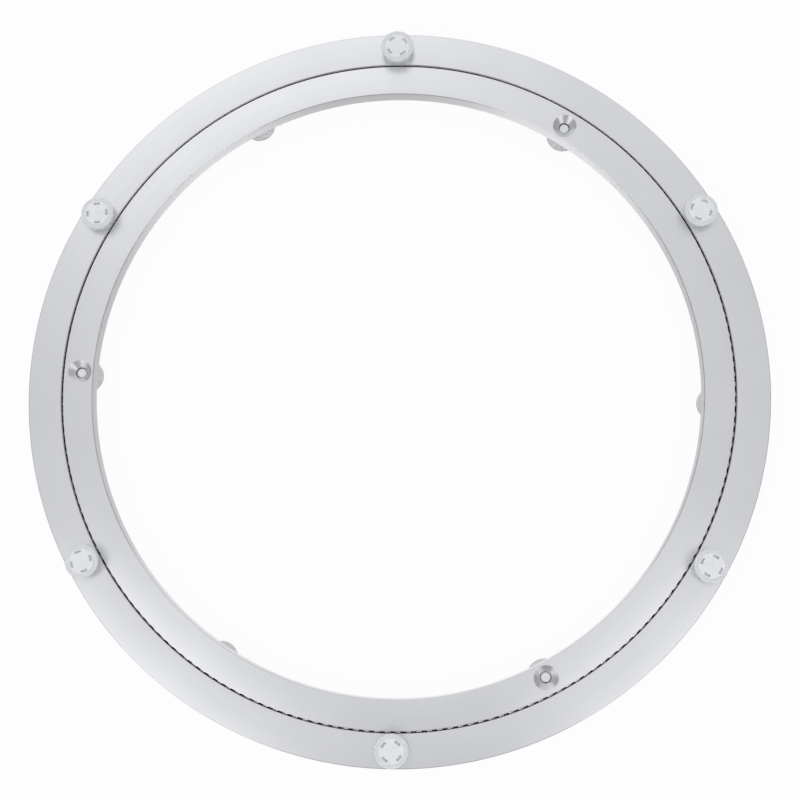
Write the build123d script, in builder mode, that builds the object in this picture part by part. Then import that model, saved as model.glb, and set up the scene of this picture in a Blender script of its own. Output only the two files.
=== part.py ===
from build123d import *

import os
from math import asin, cos, pi, radians, sin, sqrt, tan

# Lazy susan bearing: a turning outer ring and a standing inner ring, both turned from aluminium, run on
# a full circle of steel balls. Clear silicone pads carry the table top, and the same pads are its feet.
# Millimetres, +Z up. The origin is on the turning axis, level with the undersides of the feet.

# Rings
outer_diameter = 350.0
ring_height = 8.0
outer_ring_width = 15.6
inner_ring_width = 14.1
ring_gap = 1.0
rim_chamfer = 0.6

# Balls and their race
ball_diameter = 4.7625
ball_spacing = 0.01
race_clearance = 0.3

# Filler screw, which closes the hole that the balls are loaded through
filler_diameter = 6.0
filler_clearance = 0.05
filler_recess = 0.4
filler_angle = -0.5
hex_socket_width = 3.0
hex_socket_depth = 3.0

# Silicone pads: a disc that narrows toward its seat, a low boss with four slots in its face, and a stem.
# They are many-sided forms with their corners on the true circles, so that twelve of them stay light.
pad_count = 6
pad_sides = 20
disc_diameter = 16.0
disc_taper = 12.0
disc_height = 6.0
pad_height = 6.3
boss_diameter = 11.6
slot_count = 4
slot_circle_diameter = 9.3
slot_length = 2.9
slot_width = 1.1
slot_depth = 1.6
stem_sides = 10
stem_diameter = 4.7
stem_clearance = 0.3
socket_end_room = 0.6

# Places of the pads on the rings: angles in degrees, and the turn at which each pad was pressed in
pad_turns = (69, 35, 4, 20, 51, 61)
top_pad_start = 29.5
top_pad_offset = -0.8
foot_pad_start = 57.0
foot_pad_offset = -0.45

# Countersunk holes over every second foot
screw_hole_count = 3
countersink_diameter = 11.2
countersink_angle = 90.0

# Radii across the two rings
outer_radius = outer_diameter / 2
outer_bore_radius = outer_radius - outer_ring_width
pitch_radius = outer_bore_radius - ring_gap / 2
inner_rim_radius = pitch_radius - ring_gap / 2
inner_bore_radius = inner_rim_radius - inner_ring_width
top_pad_circle_radius = (outer_radius + outer_bore_radius) / 2 + top_pad_offset
foot_pad_circle_radius = (inner_rim_radius + inner_bore_radius) / 2 + foot_pad_offset

# Levels
ring_bottom = pad_height
ring_top = ring_bottom + ring_height
race_level = ring_bottom + ring_height / 2

# The race is a six-sided tunnel round the ball circle, with three flats of it in each ring
race_radius = ball_diameter / 2 + race_clearance
ball_count = int(pi / asin((ball_diameter + ball_spacing) / (2 * pitch_radius)))

# A foot's stem ends a little under the bottom of the countersink
socket_radius = stem_diameter / 2 + stem_clearance
countersink_depth = (countersink_diameter / 2 - socket_radius) / tan(radians(countersink_angle / 2))
socket_depth = ring_height - countersink_depth
stem_length = socket_depth - socket_end_room

# The filler screw stands on a plane that faces straight out of the outer ring's wall
filler_direction = Vector(cos(radians(filler_angle)), sin(radians(filler_angle)), 0)
filler_plane = Plane(Vector(0, 0, race_level) + filler_direction * outer_radius, z_dir=filler_direction)
filler_screw_length = outer_ring_width - (race_radius - ring_gap / 2) - filler_recess - race_clearance

os.makedirs("parts", exist_ok=True)


def write(builder, name):
    """Label a finished piece and write it under its own name."""
    builder.part.label = name
    export_step(builder.part, f"parts/{name}.step")


def on_circle(radius, start, index, level):
    """The point of a ring of pads that belongs to one pad."""
    angle = radians(start + index * 360 / pad_count)
    return (radius * cos(angle), radius * sin(angle), level)


# Outer ring
with BuildPart() as outer_ring:
    with BuildSketch(Plane.XZ) as outer_section:
        with Locations(((outer_radius + outer_bore_radius) / 2, race_level)):
            Rectangle(outer_ring_width, ring_height)
        chamfer(outer_section.vertices().group_by(Axis.X)[-1].sort_by(Axis.Y)[-1], rim_chamfer)
        with Locations((pitch_radius, race_level)):
            RegularPolygon(race_radius, 6, major_radius=False, rotation=30, mode=Mode.SUBTRACT)
    revolve(axis=Axis.Z)
    with Locations((0, 0, ring_top)):
        with PolarLocations(top_pad_circle_radius, pad_count, start_angle=top_pad_start):
            Hole(socket_radius, depth=socket_depth)
    with Locations(filler_plane):
        Hole(filler_diameter / 2, depth=outer_radius - pitch_radius)
write(outer_ring, "outer_ring")

# Inner ring
with BuildPart() as inner_ring:
    with BuildSketch(Plane.XZ) as inner_section:
        with Locations(((inner_rim_radius + inner_bore_radius) / 2, race_level)):
            Rectangle(inner_ring_width, ring_height)
        chamfer(inner_section.vertices().group_by(Axis.X)[0].sort_by(Axis.Y)[-1], rim_chamfer)
        with Locations((pitch_radius, race_level)):
            RegularPolygon(race_radius, 6, major_radius=False, rotation=30, mode=Mode.SUBTRACT)
    revolve(axis=Axis.Z)
    with Locations((0, 0, ring_bottom)):
        with PolarLocations(foot_pad_circle_radius, pad_count, start_angle=foot_pad_start):
            Cylinder(
                socket_radius,
                socket_depth,
                align=(Align.CENTER, Align.CENTER, Align.MIN),
                mode=Mode.SUBTRACT,
            )
    with Locations((0, 0, ring_top)):
        with PolarLocations(foot_pad_circle_radius, screw_hole_count, start_angle=foot_pad_start):
            CounterSinkHole(socket_radius, countersink_diameter / 2, counter_sink_angle=countersink_angle)
write(inner_ring, "inner_ring")

# Steel balls: each is a twenty-sided solid with its corners on the true ball's surface
golden = (1 + sqrt(5)) / 2
corner_unit = ball_diameter / 2 / sqrt(1 + golden**2)
ball_corners = []
for short in (-corner_unit, corner_unit):
    for long in (-corner_unit * golden, corner_unit * golden):
        ball_corners += [(0, short, long), (short, long, 0), (long, 0, short)]

with BuildPart() as steel_balls:
    with Locations((0, 0, race_level)):
        with PolarLocations(pitch_radius, ball_count):
            ConvexPolyhedron(ball_corners)
write(steel_balls, "steel_balls")

# Filler screw
with BuildPart(filler_plane.offset(-filler_recess)) as filler_screw:
    Cylinder(
        filler_diameter / 2 - filler_clearance,
        filler_screw_length,
        align=(Align.CENTER, Align.CENTER, Align.MAX),
    )
    with BuildSketch(filler_plane.offset(-filler_recess)):
        RegularPolygon(hex_socket_width / 2, 6, major_radius=False)
    extrude(amount=-hex_socket_depth, mode=Mode.SUBTRACT)
write(filler_screw, "filler_screw")

# Silicone pad with its seat at the origin and its stem upward, as a foot hangs under the inner ring
with BuildPart() as pad_moulding:
    with BuildSketch(Plane.XY.offset(-disc_height)):
        RegularPolygon(disc_diameter / 2, pad_sides)
    extrude(amount=disc_height, taper=disc_taper)
    with BuildSketch(Plane.XY.offset(-disc_height)):
        RegularPolygon(boss_diameter / 2, pad_sides)
    extrude(amount=disc_height - pad_height)
    with BuildSketch(Plane.XY.offset(-pad_height)):
        with PolarLocations(slot_circle_diameter / 2, slot_count):
            Rectangle(slot_width, slot_length)
    extrude(amount=slot_depth, mode=Mode.SUBTRACT)
    with BuildSketch():
        RegularPolygon(stem_diameter / 2, stem_sides)
    extrude(amount=stem_length)

for index in range(pad_count):
    turn = pad_turns[index % len(pad_turns)]

    # Pad on top of the outer ring, turned over
    top_place = on_circle(top_pad_circle_radius, top_pad_start, index, ring_top)
    with BuildPart() as top_pad:
        with Locations(Plane(top_place, z_dir=(0, 0, -1)).rotated((0, 0, -turn))):
            add(pad_moulding.part)
    write(top_pad, f"top_pad_{index + 1}")

    # Foot under the inner ring
    foot_place = on_circle(foot_pad_circle_radius, foot_pad_start, index, ring_bottom)
    with BuildPart() as foot_pad:
        with Locations(Plane(foot_place, z_dir=(0, 0, 1)).rotated((0, 0, turn))):
            add(pad_moulding.part)
    write(foot_pad, f"foot_pad_{index + 1}")
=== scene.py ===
from math import asin, atan2, cos, hypot, pi, radians, sin, sqrt

import bmesh
import bpy
from mathutils import Matrix, Vector


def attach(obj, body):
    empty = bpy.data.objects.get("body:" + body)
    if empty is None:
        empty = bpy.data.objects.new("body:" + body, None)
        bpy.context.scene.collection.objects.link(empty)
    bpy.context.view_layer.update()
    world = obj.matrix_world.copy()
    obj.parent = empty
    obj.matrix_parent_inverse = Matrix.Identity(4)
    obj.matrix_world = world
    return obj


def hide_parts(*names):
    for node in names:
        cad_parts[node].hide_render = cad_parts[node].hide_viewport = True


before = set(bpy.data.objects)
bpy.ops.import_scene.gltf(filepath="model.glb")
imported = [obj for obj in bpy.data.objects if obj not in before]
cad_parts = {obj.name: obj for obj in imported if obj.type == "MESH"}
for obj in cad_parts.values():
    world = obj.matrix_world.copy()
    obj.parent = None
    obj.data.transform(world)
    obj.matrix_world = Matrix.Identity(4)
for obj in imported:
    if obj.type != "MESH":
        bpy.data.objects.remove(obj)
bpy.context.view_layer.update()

# Sizes in millimetres and angles in degrees, which the solids have too, to a hundredth
MM = 0.001

# Rings
OUTER_RADIUS = 175.0
OUTER_WIDTH = 15.6
INNER_WIDTH = 14.1
RING_GAP = 1.0
RING_HEIGHT = 8.0

# Balls and their race
BALL_RADIUS = 4.7625 / 2
BALL_COUNT = 209
RACE_RADIUS = 2.68

# Pads and the turn at which each was pressed in
PAD_COUNT = 6
PAD_TURNS = (69, 35, 4, 20, 51, 61)
PAD_HEIGHT = 6.3
DISC_HEIGHT = 6.0
DISC_RADIUS = 8.0
SEAT_RADIUS = 6.72
BOSS_RADIUS = 5.8
SLOT_CIRCLE = 4.65
SLOT_LENGTH = 2.9
SLOT_WIDTH = 1.1
SLOT_DEPTH = 1.6
STEM_RADIUS = 2.35
SOCKET_END_ROOM = 0.6

# Holes and their places
TOP_PAD_CIRCLE = 166.4
TOP_PAD_START = 29.5
FOOT_PAD_CIRCLE = 150.9
FOOT_PAD_START = 57.0
SOCKET_RADIUS = 2.65
SOCKET_DEPTH = 5.05
COUNTERSINK_RADIUS = 5.6
FILLER_RADIUS = 3.0
FILLER_ANGLE = -0.5

# Radii and levels that follow from these
OUTER_BORE = OUTER_RADIUS - OUTER_WIDTH
INNER_RIM = OUTER_BORE - RING_GAP
INNER_BORE = INNER_RIM - INNER_WIDTH
PITCH_RADIUS = (OUTER_BORE + INNER_RIM) / 2
RING_BOTTOM = PAD_HEIGHT
RING_TOP = RING_BOTTOM + RING_HEIGHT
RACE_LEVEL = RING_BOTTOM + RING_HEIGHT / 2
STEM_LENGTH = SOCKET_DEPTH - SOCKET_END_ROOM

# Edges of the rings and their holes. The solids have a wider chamfer and no other broken edges: here the
# chamfer is as narrow as its line in the photo, and the other edges are rounded or broken a little.
RIM_CHAMFER = 0.35
CHAMFER_ROUND = 0.15
GAP_ROUND = 0.25
LOWER_GAP_ROUND = 0.3
LOWER_ROUND = 0.4
RACE_LIP_ROUND = 0.12
SOCKET_EDGE = 0.2
SINK_EDGE = 0.1
FILLER_EDGE = 0.25

# The filler hole ends in the race, and every cutter starts a little outside the metal
FILLER_DEPTH = 14.5
BEYOND = 1.0
SINK_BEYOND = 1.6

# Edges of the pads, the width of their rims, which on the feet are painted dark as shade, and the slopes
# of their slots
STEM_ROUND = 0.5
SEAT_ROUND = 0.2
DISC_ROUND = 0.8
BOSS_FLARE = 0.25
BOSS_FOOT_ROUND = 0.1
BOSS_ROUND = 0.12
SLOT_CORNER = 0.35
SLOT_LIP = 0.10
SLOT_SLOPE = 0.28
RIM_WIDTH = 0.7

# Mesh steps and limits: the narrowest corner that is rounded in full is given by its half's tangent
CORNER_STEPS = 4
NARROWEST_CORNER = 0.2
NEARLY_ZERO = 1e-6
RING_STEPS = 720
RACE_STEPS = 16
CUTTER_SIDES = 64
BALL_SUBDIVISIONS = 3
PAD_STEPS = 180
PAD_ROUND_STEPS = 5
SHARP_ANGLE = 28
JOIN_DISTANCE = 1e-7
TURN_MAP = "turn"


# Mesh helpers

def soften(corners, steps):
    """A closed section whose corners (r, z, radius) are rounded off by their radius."""
    points = []
    for i, (r, z, radius) in enumerate(corners):
        here = Vector((r, z))
        if radius == 0:
            points.append((r, z))
            continue
        before = Vector(corners[i - 1][:2]) - here
        after = Vector(corners[(i + 1) % len(corners)][:2]) - here
        half = before.angle(after) / 2
        tangent = sin(half) / max(NEARLY_ZERO, cos(half))
        reach = radius / max(NARROWEST_CORNER, tangent)
        start = here + before.normalized() * reach
        end = here + after.normalized() * reach
        for k in range(steps + 1):
            t = k / steps
            p = start * (1 - t) ** 2 + here * (2 * t * (1 - t)) + end * t ** 2
            points.append((p.x, p.y))
    return points


def lathe(section, steps, closed):
    """Turn a section about Z, with a map that runs round the axis in U and along the section in V."""
    bm = bmesh.new()
    rings = []
    for i in range(steps):
        a = 2 * pi * i / steps
        rings.append([bm.verts.new((r * cos(a) * MM, r * sin(a) * MM, z * MM)) for r, z in section])
    along = [0.0]
    for p, q in zip(section, section[1:] + section[:1]):
        along.append(along[-1] + hypot(q[0] - p[0], q[1] - p[1]))
    uv = bm.loops.layers.uv.new(TURN_MAP)
    rows = len(section) if closed else len(section) - 1
    for i in range(steps):
        here, there = rings[i], rings[(i + 1) % steps]
        for k in range(rows):
            m = (k + 1) % len(section)
            face = bm.faces.new((here[k], there[k], there[m], here[m]))
            face.smooth = True
            marks = ((i, k), (i + 1, k), (i + 1, k + 1), (i, k + 1))
            for loop, (u, v) in zip(face.loops, marks):
                loop[uv].uv = (u / steps, along[v])
    bmesh.ops.remove_doubles(bm, verts=bm.verts, dist=JOIN_DISTANCE)
    bmesh.ops.recalc_face_normals(bm, faces=bm.faces)
    return bm


def new_object(name, bm, *materials):
    """An object from finished faces, with its steep edges kept sharp."""
    mesh = bpy.data.meshes.new(name)
    bm.to_mesh(mesh)
    bm.free()
    mesh.set_sharp_from_angle(angle=radians(SHARP_ANGLE))
    for material in materials:
        mesh.materials.append(material)
    piece = bpy.data.objects.new(name, mesh)
    bpy.context.scene.collection.objects.link(piece)
    return piece


def cut(piece, tools):
    """Take the tools' shapes out of a piece, for good."""
    for tool in tools:
        change = piece.modifiers.new("cut", "BOOLEAN")
        change.operation = "DIFFERENCE"
        change.solver = "EXACT"
        change.object = tool
    bpy.context.view_layer.update()
    mesh = bpy.data.meshes.new_from_object(piece.evaluated_get(bpy.context.evaluated_depsgraph_get()))
    mesh.set_sharp_from_angle(angle=radians(SHARP_ANGLE))
    piece.modifiers.clear()
    piece.data = mesh
    for tool in tools:
        bpy.data.objects.remove(tool)


def on_circle(radius, start, index, count, level):
    """One of the points that are spaced evenly on a circle, in metres."""
    a = radians(start + index * 360 / count)
    return Vector((radius * cos(a), radius * sin(a), level)) * MM


def face_radius(face):
    """How far the middle of a face is from the axis, in millimetres."""
    return face.center.to_2d().length / MM


# Materials

TEXTURE_LOW, TEXTURE_HIGH = 0.3, 0.7
ACROSS_LINES = 0.25
BAND_ROUGHNESS = 0.01
LINE_HEIGHT = 0.0002
POLISH_SPREAD = 0.2
SILICONE_IOR = 1.41
FROST_ROUGHNESS = (0.38, 0.46)
FROST_STRENGTH = 0.06
FROST_HEIGHT = 0.0001


def new_material(name):
    """A new material, with its nodes, its links and its shader."""
    material = bpy.data.materials.new(name)
    material.use_nodes = True
    nodes = material.node_tree.nodes
    return material, nodes, material.node_tree.links, nodes["Principled BSDF"]


def noise(nodes, links, source, dimensions, scale, detail):
    """A noise texture over a coordinate, of one dimension or of three."""
    node = nodes.new("ShaderNodeTexNoise")
    node.noise_dimensions = dimensions
    node.inputs["Scale"].default_value = scale
    node.inputs["Detail"].default_value = detail
    links.new(source, node.inputs["W" if dimensions == "1D" else "Vector"])
    return node.outputs["Fac"]


def clouds(nodes, links, scale, detail=2.0):
    """A noise texture over the object's own coordinates."""
    where = nodes.new("ShaderNodeTexCoord")
    return noise(nodes, links, where.outputs["Object"], "3D", scale, detail)


def spread(nodes, links, source, low, high):
    """A texture's middle range stretched onto low to high."""
    node = nodes.new("ShaderNodeMapRange")
    node.inputs["From Min"].default_value = TEXTURE_LOW
    node.inputs["From Max"].default_value = TEXTURE_HIGH
    node.inputs["To Min"].default_value = low
    node.inputs["To Max"].default_value = high
    links.new(source, node.inputs["Value"])
    return node.outputs["Result"]


def set_colours(nodes, links, shader, texture, dark, light):
    """Vary the shader's colour between two by a texture."""
    node = nodes.new("ShaderNodeMix")
    node.data_type = "RGBA"
    node.inputs["A"].default_value = (*dark, 1)
    node.inputs["B"].default_value = (*light, 1)
    links.new(spread(nodes, links, texture, 0.0, 1.0), node.inputs["Factor"])
    links.new(node.outputs["Result"], shader.inputs["Base Color"])


def set_bump(nodes, links, shader, texture, strength, distance):
    """Raise the shader's surface by a texture."""
    node = nodes.new("ShaderNodeBump")
    node.inputs["Strength"].default_value = strength
    node.inputs["Distance"].default_value = distance
    links.new(texture, node.inputs["Height"])
    links.new(node.outputs["Normal"], shader.inputs["Normal"])


def turned_aluminium(name, dark, light, rough, grain, brushed):
    """Aluminium with fine tool lines round the axis, which stretch its reflections across them."""
    material, nodes, links, shader = new_material(name)
    shader.inputs["Metallic"].default_value = 1.0
    shader.inputs["Anisotropic"].default_value = brushed
    shader.inputs["Anisotropic Rotation"].default_value = ACROSS_LINES
    around = nodes.new("ShaderNodeTangent")
    around.direction_type = "UV_MAP"
    around.uv_map = TURN_MAP
    links.new(around.outputs["Tangent"], shader.inputs["Tangent"])
    place = nodes.new("ShaderNodeUVMap")
    place.uv_map = TURN_MAP
    parts = nodes.new("ShaderNodeSeparateXYZ")
    links.new(place.outputs["UV"], parts.inputs["Vector"])
    lines = noise(nodes, links, parts.outputs["Y"], "1D", scale=3.0, detail=3.0)
    bands = noise(nodes, links, parts.outputs["Y"], "1D", scale=0.35, detail=2.0)
    set_colours(nodes, links, shader, clouds(nodes, links, 26.0), dark, light)
    polish = spread(nodes, links, bands, rough - BAND_ROUGHNESS, rough + BAND_ROUGHNESS)
    links.new(polish, shader.inputs["Roughness"])
    set_bump(nodes, links, shader, lines, grain, LINE_HEIGHT)
    return material


def polished_steel(name, dark, light, rough):
    """Steel with a faint unevenness in its colour and its polish."""
    material, nodes, links, shader = new_material(name)
    shader.inputs["Metallic"].default_value = 1.0
    uneven = clouds(nodes, links, 400.0)
    set_colours(nodes, links, shader, uneven, dark, light)
    polish = spread(nodes, links, uneven, rough * (1 - POLISH_SPREAD), rough * (1 + POLISH_SPREAD))
    links.new(polish, shader.inputs["Roughness"])
    return material


def clear_silicone(name, dark, light, clearness):
    """Silicone rubber with a frosted surface, which lets a share of the light through."""
    material, nodes, links, shader = new_material(name)
    shader.inputs["IOR"].default_value = SILICONE_IOR
    shader.inputs["Transmission Weight"].default_value = clearness
    frost = clouds(nodes, links, 900.0, 3.0)
    set_colours(nodes, links, shader, frost, dark, light)
    links.new(spread(nodes, links, frost, *FROST_ROUGHNESS), shader.inputs["Roughness"])
    set_bump(nodes, links, shader, frost, FROST_STRENGTH, FROST_HEIGHT)
    return material


ring_metal = turned_aluminium(
    "turned_aluminium", (0.735, 0.742, 0.77), (0.765, 0.772, 0.797), rough=0.33, grain=0.03, brushed=0.72)
# The walls are the same aluminium painted lighter than the faces: painted light
wall_metal_painted_light = turned_aluminium(
    "turned_wall_painted_light", (0.81, 0.815, 0.83), (0.85, 0.855, 0.87), rough=0.58, grain=0.04, brushed=1.0)
# The chamfers are the same aluminium painted darker than the faces: painted shade
edge_metal_painted_shade = turned_aluminium(
    "turned_edge_painted_shade", (0.63, 0.635, 0.655), (0.67, 0.675, 0.695), rough=0.29, grain=0.02, brushed=1.0)
cone_metal = turned_aluminium(
    "machined_cone", (0.71, 0.715, 0.73), (0.76, 0.765, 0.78), rough=0.36, grain=0.02, brushed=0.93)
# The hole walls are the same aluminium painted much darker: painted shade in the holes
bore_metal_painted_shade = turned_aluminium(
    "drilled_bore_painted_shade", (0.26, 0.26, 0.27), (0.34, 0.34, 0.35), rough=0.50, grain=0.04, brushed=0.4)
ball_steel = polished_steel("polished_steel", (0.52, 0.52, 0.53), (0.60, 0.60, 0.61), rough=0.10)
screw_steel = polished_steel("plain_steel", (0.42, 0.42, 0.43), (0.52, 0.52, 0.53), rough=0.35)
face_silicone = clear_silicone(
    "frosted_silicone", (0.876, 0.893, 0.927), (0.921, 0.936, 0.961), clearness=0.20)
side_silicone = clear_silicone(
    "clear_silicone", (0.845, 0.861, 0.892), (0.895, 0.909, 0.934), clearness=0.30)
foot_silicone = clear_silicone(
    "shaded_silicone", (0.84, 0.85, 0.865), (0.90, 0.91, 0.925), clearness=0.50)
# The feet's rims are clear silicone painted dark: painted shade from the ring above them
painted_shade_rim_silicone = clear_silicone(
    "painted_shade_rim_silicone", (0.20, 0.205, 0.215), (0.26, 0.265, 0.275), clearness=0.5)


# The two rings, with a round race: each face takes its finish from its slope. The finishes carry painted
# light on the walls and painted shade on the chamfers and on the hole walls

RING_FINISHES = (ring_metal, wall_metal_painted_light, edge_metal_painted_shade, cone_metal, bore_metal_painted_shade)
FLAT, WALL, EDGE, CONE, BORE = range(len(RING_FINISHES))
WALL_SLOPE = 0.1
FLAT_SLOPE = 0.98
HOLE_MARGIN = 1
UPRIGHT = Matrix.Identity(4)


def race(wall, side):
    """One ring's round race, from its upper lip to its lower one: side is 1 in the outer ring."""
    half = asin(sqrt(RACE_RADIUS ** 2 - (wall - PITCH_RADIUS) ** 2) / RACE_RADIUS)
    points = []
    for k in range(RACE_STEPS + 1):
        a = half * (1 - 2 * k / RACE_STEPS)
        lip = RACE_LIP_ROUND if k in (0, RACE_STEPS) else 0
        points.append((PITCH_RADIUS + side * RACE_RADIUS * cos(a), RACE_LEVEL + RACE_RADIUS * sin(a), lip))
    return points


def ring_corners(gap_wall, far_wall, side):
    """One ring's section, from its edge at the gap round to its chamfer: side is 1 in the outer ring."""
    return [
        (gap_wall, RING_TOP, GAP_ROUND),
        *race(gap_wall, side),
        (gap_wall, RING_BOTTOM, LOWER_GAP_ROUND),
        (far_wall, RING_BOTTOM, LOWER_ROUND),
        (far_wall, RING_TOP - RIM_CHAMFER, CHAMFER_ROUND),
        (far_wall - side * RIM_CHAMFER, RING_TOP, CHAMFER_ROUND),
    ]


def ring(name, gap_wall, far_wall, side):
    """One ring before its holes are cut."""
    section = soften(ring_corners(gap_wall, far_wall, side), CORNER_STEPS)
    return new_object(name, lathe(section, RING_STEPS, True), *RING_FINISHES)


def hole(radius, edge, depth, into):
    """The section of a hole with a broken edge, from outside its mouth: into is 1 upward, -1 downward."""
    return [
        (0, -into * BEYOND),
        (radius + edge + BEYOND, -into * BEYOND),
        (radius, into * edge),
        (radius, into * depth),
        (0, into * depth),
    ]


def cutter(section, place, turn=UPRIGHT):
    """What is cut out for one hole, at its place."""
    piece = new_object("cutter", lathe(section, CUTTER_SIDES, False), ring_metal)
    piece.matrix_world = Matrix.Translation(place) @ turn
    return piece


top_socket = hole(SOCKET_RADIUS, SOCKET_EDGE, SOCKET_DEPTH, -1)
foot_socket = hole(SOCKET_RADIUS, SOCKET_EDGE, SOCKET_DEPTH, 1)
filler_hole = hole(FILLER_RADIUS, FILLER_EDGE, FILLER_DEPTH, -1)
screw_hole = foot_socket[:-1] + [
    (COUNTERSINK_RADIUS - SINK_EDGE, RING_HEIGHT - SINK_EDGE),
    (COUNTERSINK_RADIUS + SINK_BEYOND, RING_HEIGHT + BEYOND),
    (0, RING_HEIGHT + BEYOND),
]

# The filler hole's cutter is rolled by half a side, so that its lines miss those of the ring
outer_ring = ring("turned_outer_ring", OUTER_BORE, OUTER_RADIUS, 1)
cutters = []
for i in range(PAD_COUNT):
    cutters.append(cutter(top_socket, on_circle(TOP_PAD_CIRCLE, TOP_PAD_START, i, PAD_COUNT, RING_TOP)))
half_side = Matrix.Rotation(pi / CUTTER_SIDES, 4, "Z")
outward = Matrix.Rotation(radians(FILLER_ANGLE), 4, "Z") @ Matrix.Rotation(pi / 2, 4, "Y") @ half_side
cutters.append(cutter(filler_hole, on_circle(OUTER_RADIUS, FILLER_ANGLE, 0, 1, RACE_LEVEL), outward))
cut(outer_ring, cutters)

inner_ring = ring("turned_inner_ring", INNER_RIM, INNER_BORE, -1)
cutters = []
for i in range(PAD_COUNT):
    section = foot_socket if i % 2 else screw_hole
    cutters.append(cutter(section, on_circle(FOOT_PAD_CIRCLE, FOOT_PAD_START, i, PAD_COUNT, RING_BOTTOM)))
cut(inner_ring, cutters)

ring_rows = (
    (outer_ring, "outer_ring", "turning_ring"),
    (inner_ring, "inner_ring", "standing_ring"),
)
for piece, node, body in ring_rows:
    for face in piece.data.polygons:
        slope = abs(face.normal.z)
        in_hole = INNER_BORE + HOLE_MARGIN < face_radius(face) < INNER_RIM - HOLE_MARGIN
        if slope < WALL_SLOPE:
            face.material_index = BORE if in_hole else WALL
        elif slope < FLAT_SLOPE:
            face.material_index = CONE if in_hole else EDGE
        else:
            face.material_index = FLAT
    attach(piece, body)
    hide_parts(node)


# The balls

bm = bmesh.new()
for i in range(BALL_COUNT):
    place = Matrix.Translation(on_circle(PITCH_RADIUS, 0, i, BALL_COUNT, RACE_LEVEL))
    bmesh.ops.create_icosphere(bm, subdivisions=BALL_SUBDIVISIONS, radius=BALL_RADIUS * MM, matrix=place)
for face in bm.faces:
    face.smooth = True
balls = new_object("ball_circle", bm, ball_steel)
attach(balls, "balls")
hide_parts("steel_balls")


# The silicone pads: a rounded disc, a low boss with four curved slots in its face, and a stem

TOP_FINISHES = (face_silicone, side_silicone, side_silicone)
# The feet take the rim that is painted dark, as painted shade
FOOT_FINISHES = (face_silicone, foot_silicone, painted_shade_rim_silicone)
PAD_FACE, PAD_SIDE, PAD_RIM = range(len(TOP_FINISHES))

# Slots are pressed into the points above the first level. The boss's faces above the second are in or
# round the slots.
FACE_LEVEL = PAD_HEIGHT - 0.05
SLOT_FLOOR = PAD_HEIGHT - SLOT_DEPTH - 0.1

# Rows of the pad's face: fine ones from the boss's edge inward over the slots, then a few to the middle
FINE_ROWS = 28
FINE_END = 3.6
MIDDLE_ROWS = (2.2, 1.0, 0)


def slot_depth(r, angle):
    """How deep the slots are at a point of the pad's face."""
    quarter = pi / 2
    turn = (angle + quarter / 2) % quarter - quarter / 2
    along = max(abs(r * turn) - SLOT_LENGTH / 2 + SLOT_CORNER, 0)
    across = max(abs(r - SLOT_CIRCLE) - SLOT_WIDTH / 2 + SLOT_CORNER, 0)
    outside = hypot(along, across) - SLOT_CORNER
    inside = min(max((SLOT_LIP - outside) / SLOT_SLOPE, 0), 1)
    return SLOT_DEPTH * inside * inside * (3 - 2 * inside)


def pad_mesh():
    """The pad with its seat at the origin, its stem downward and its slotted face on top."""
    corners = [
        (0, -STEM_LENGTH, 0),
        (STEM_RADIUS, -STEM_LENGTH, STEM_ROUND),
        (STEM_RADIUS, 0, 0),
        (SEAT_RADIUS, 0, SEAT_ROUND),
        (DISC_RADIUS, DISC_HEIGHT, DISC_ROUND),
        (BOSS_RADIUS + BOSS_FLARE, DISC_HEIGHT, BOSS_FOOT_ROUND),
        (BOSS_RADIUS, PAD_HEIGHT, BOSS_ROUND),
        (0, PAD_HEIGHT, 0),
    ]
    outline = soften(corners, PAD_ROUND_STEPS)[:-1]
    start = outline[-1][0]
    for k in range(1, FINE_ROWS + 1):
        outline.append((start + (FINE_END - start) * k / FINE_ROWS, PAD_HEIGHT))
    outline += [(r, PAD_HEIGHT) for r in MIDDLE_ROWS]
    bm = lathe(outline, PAD_STEPS, False)
    for v in bm.verts:
        if v.co.z > FACE_LEVEL * MM:
            v.co.z -= slot_depth(hypot(v.co.x, v.co.y) / MM, atan2(v.co.y, v.co.x)) * MM
    return bm


pad = new_object("pad_pattern", pad_mesh(), *TOP_FINISHES)
for face in pad.data.polygons:
    radius = face_radius(face)
    if face.center.z < 0 or face.center.z > SLOT_FLOOR * MM and radius < BOSS_RADIUS:
        face.material_index = PAD_FACE
    else:
        face.material_index = PAD_RIM if radius > DISC_RADIUS - RIM_WIDTH else PAD_SIDE

over = Matrix.Rotation(pi, 4, "Y")
for i in range(PAD_COUNT):
    turn = Matrix.Rotation(radians(PAD_TURNS[i]), 4, "Z")
    top = on_circle(TOP_PAD_CIRCLE, TOP_PAD_START, i, PAD_COUNT, RING_TOP)
    foot = on_circle(FOOT_PAD_CIRCLE, FOOT_PAD_START, i, PAD_COUNT, RING_BOTTOM)
    pad_rows = (
        ("top_pad", "turning_ring", Matrix.Translation(top) @ turn, TOP_FINISHES),
        ("foot_pad", "standing_ring", Matrix.Translation(foot) @ over @ turn, FOOT_FINISHES),
    )
    for kind, body, place, finishes in pad_rows:
        mesh = pad.data.copy()
        mesh.transform(place)
        for k, material in enumerate(finishes):
            mesh.materials[k] = material
        piece = bpy.data.objects.new(f"silicone_{kind}_{i + 1}", mesh)
        bpy.context.scene.collection.objects.link(piece)
        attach(piece, body)
        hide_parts(f"{kind}_{i + 1}")
bpy.data.objects.remove(pad)

# The filler screw keeps the shape of its solid
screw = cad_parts["filler_screw"]
screw.data.materials.clear()
screw.data.materials.append(screw_steel)


# Floor, light and camera, in metres and degrees

FLOOR_SIZE = 20
FLOOR_LEVEL = -0.00005
FLOOR_COLOUR = (0.88, 0.88, 0.88, 1)
FLOOR_ROUGHNESS = 0.9
FLOOR_SHINE = 0.1
FLOOR_GLOW = 0.93

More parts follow.
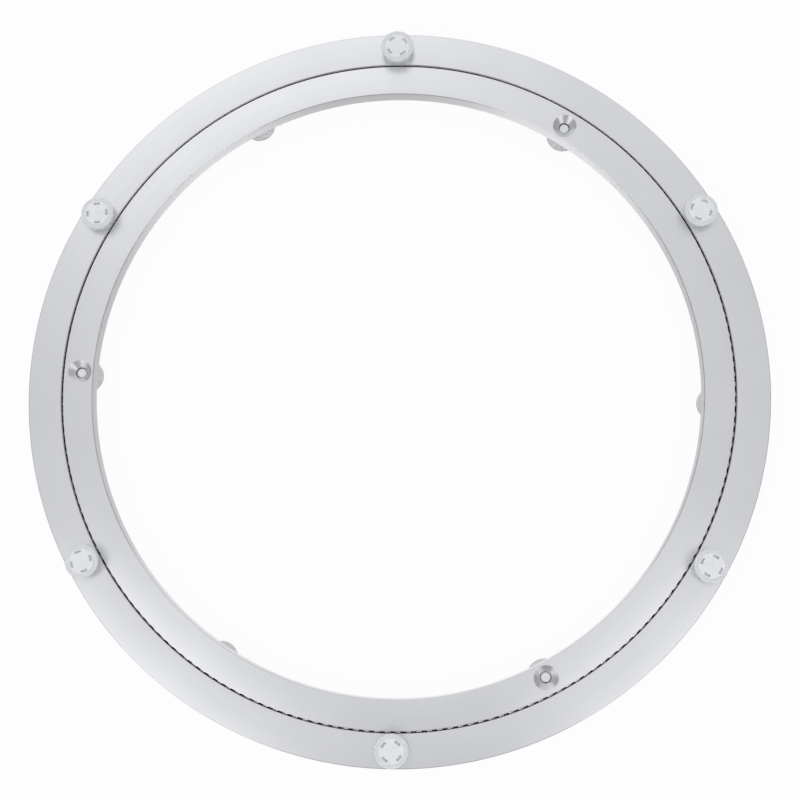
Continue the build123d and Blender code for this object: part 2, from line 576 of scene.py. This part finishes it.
# Each flag: the angles where it starts and ends, and its top
FLAGS = ((-42, 42, 1.1), (138, 214, 1.1), (247, 299, 0.9))
FLAG_COLOUR = (0.05, 0.05, 0.05, 1)
FLAG_DISTANCE = 2
FLAG_BOTTOM = 0.05
FLAG_STEPS = 12

WORLD_COLOUR = (1, 1, 1, 1)
WORLD_SLOPE = (0.0, 0.85, 0.0)
FRONT_STRENGTH, BACK_STRENGTH = 0.58, 0.96

SENSOR_WIDTH = 36
LENS = 55.675
CAMERA_PLACE = (0.02761, -0.09357, 0.58905)
CAMERA_TURN = (8.5734, 2.5220, -0.0371)


def maths(nodes, links, operation, first, second):
    """A math node on two values, of which the second may be a plain number."""
    node = nodes.new("ShaderNodeMath")
    node.operation = operation
    links.new(first, node.inputs[0])
    if isinstance(second, float):
        node.inputs[1].default_value = second
    else:
        links.new(second, node.inputs[1])
    return node.outputs["Value"]


def stage_floor():
    """A pale floor that is near white wherever it is seen, also in reflections and through the pads."""
    material, nodes, links, shader = new_material("pale_floor")
    shader.inputs["Base Color"].default_value = FLOOR_COLOUR
    shader.inputs["Roughness"].default_value = FLOOR_ROUGHNESS
    shader.inputs["Specular IOR Level"].default_value = FLOOR_SHINE
    glow = nodes.new("ShaderNodeEmission")
    path = nodes.new("ShaderNodeLightPath").outputs
    seen = maths(nodes, links, "MAXIMUM", path["Is Camera Ray"], path["Is Glossy Ray"])
    seen = maths(nodes, links, "MAXIMUM", seen, path["Is Transmission Ray"])
    mix = nodes.new("ShaderNodeMixShader")
    links.new(maths(nodes, links, "MULTIPLY", seen, FLOOR_GLOW), mix.inputs["Fac"])
    links.new(shader.outputs["BSDF"], mix.inputs[1])
    links.new(glow.outputs["Emission"], mix.inputs[2])
    links.new(mix.outputs["Shader"], nodes["Material Output"].inputs["Surface"])
    bm = bmesh.new()
    level = Matrix.Translation((0, 0, FLOOR_LEVEL))
    bmesh.ops.create_grid(bm, x_segments=1, y_segments=1, size=FLOOR_SIZE, matrix=level)
    floor = new_object("floor", bm, material)


def stage_flags():
    """Dark cards low round the set, seen only as reflections, which darken what the steep faces mirror."""
    material, _, _, shader = new_material("dark_card")
    shader.inputs["Base Color"].default_value = FLAG_COLOUR
    bm = bmesh.new()
    for start, end, top in FLAGS:
        posts = []
        for k in range(FLAG_STEPS + 1):
            a = radians(start + (end - start) * k / FLAG_STEPS)
            x, y = FLAG_DISTANCE * cos(a), FLAG_DISTANCE * sin(a)
            posts.append([bm.verts.new((x, y, z)) for z in (FLAG_BOTTOM, top)])
        for left, right in zip(posts, posts[1:]):
            bm.faces.new((left[0], right[0], right[1], left[1]))
    flags = new_object("flags", bm, material)
    flags.visible_camera = False
    flags.visible_diffuse = False
    flags.visible_transmission = False
    flags.visible_shadow = False


def softbox(name, azimuth, elevation, distance, width, height, power):
    """A flat lamp that faces the middle of the set."""
    light = bpy.data.lights.new(name, "AREA")
    light.shape = "RECTANGLE"
    light.size = width
    light.size_y = height
    light.energy = power
    lamp = bpy.data.objects.new(name, light)
    bpy.context.scene.collection.objects.link(lamp)
    a, e = radians(azimuth), radians(elevation)
    lamp.location = Vector((cos(a) * cos(e), sin(a) * cos(e), sin(e))) * distance
    lamp.rotation_euler = lamp.location.to_track_quat("Z", "Y").to_euler()
    lamp.visible_camera = False


def studio_world():
    """A plain white world, which is lighter behind the object than in front of it."""
    world = bpy.data.worlds.new("studio")
    world.use_nodes = True
    bpy.context.scene.world = world
    nodes, links = world.node_tree.nodes, world.node_tree.links
    where = nodes.new("ShaderNodeTexCoord")
    toward = nodes.new("ShaderNodeVectorMath")
    toward.operation = "DOT_PRODUCT"
    toward.inputs[1].default_value = WORLD_SLOPE
    links.new(where.outputs["Generated"], toward.inputs[0])
    shade = nodes.new("ShaderNodeMapRange")
    shade.inputs["From Min"].default_value = -1
    shade.inputs["From Max"].default_value = 1
    shade.inputs["To Min"].default_value = FRONT_STRENGTH
    shade.inputs["To Max"].default_value = BACK_STRENGTH
    links.new(toward.outputs["Value"], shade.inputs["Value"])
    links.new(shade.outputs["Result"], nodes["Background"].inputs["Strength"])
    nodes["Background"].inputs["Color"].default_value = WORLD_COLOUR


def photo_camera():
    """The camera of the photo, as measured from the rings in it."""
    camera_data = bpy.data.cameras.new("camera")
    camera_data.sensor_width = SENSOR_WIDTH
    camera_data.lens = LENS
    camera = bpy.data.objects.new("camera", camera_data)
    camera.location = CAMERA_PLACE
    camera.rotation_euler = [radians(angle) for angle in CAMERA_TURN]
    bpy.context.scene.collection.objects.link(camera)
    bpy.context.scene.camera = camera


stage_floor()
stage_flags()
softbox("softbox_left", azimuth=222, elevation=44, distance=1.5, width=0.9, height=0.9, power=3.1)
softbox("softbox_right", azimuth=317, elevation=44, distance=1.5, width=0.8, height=0.9, power=2.8)
softbox("softbox_back", azimuth=113, elevation=50, distance=1.6, width=1.0, height=1.2, power=1.4)
studio_world()
photo_camera()

bpy.context.scene.view_settings.view_transform = "Standard"
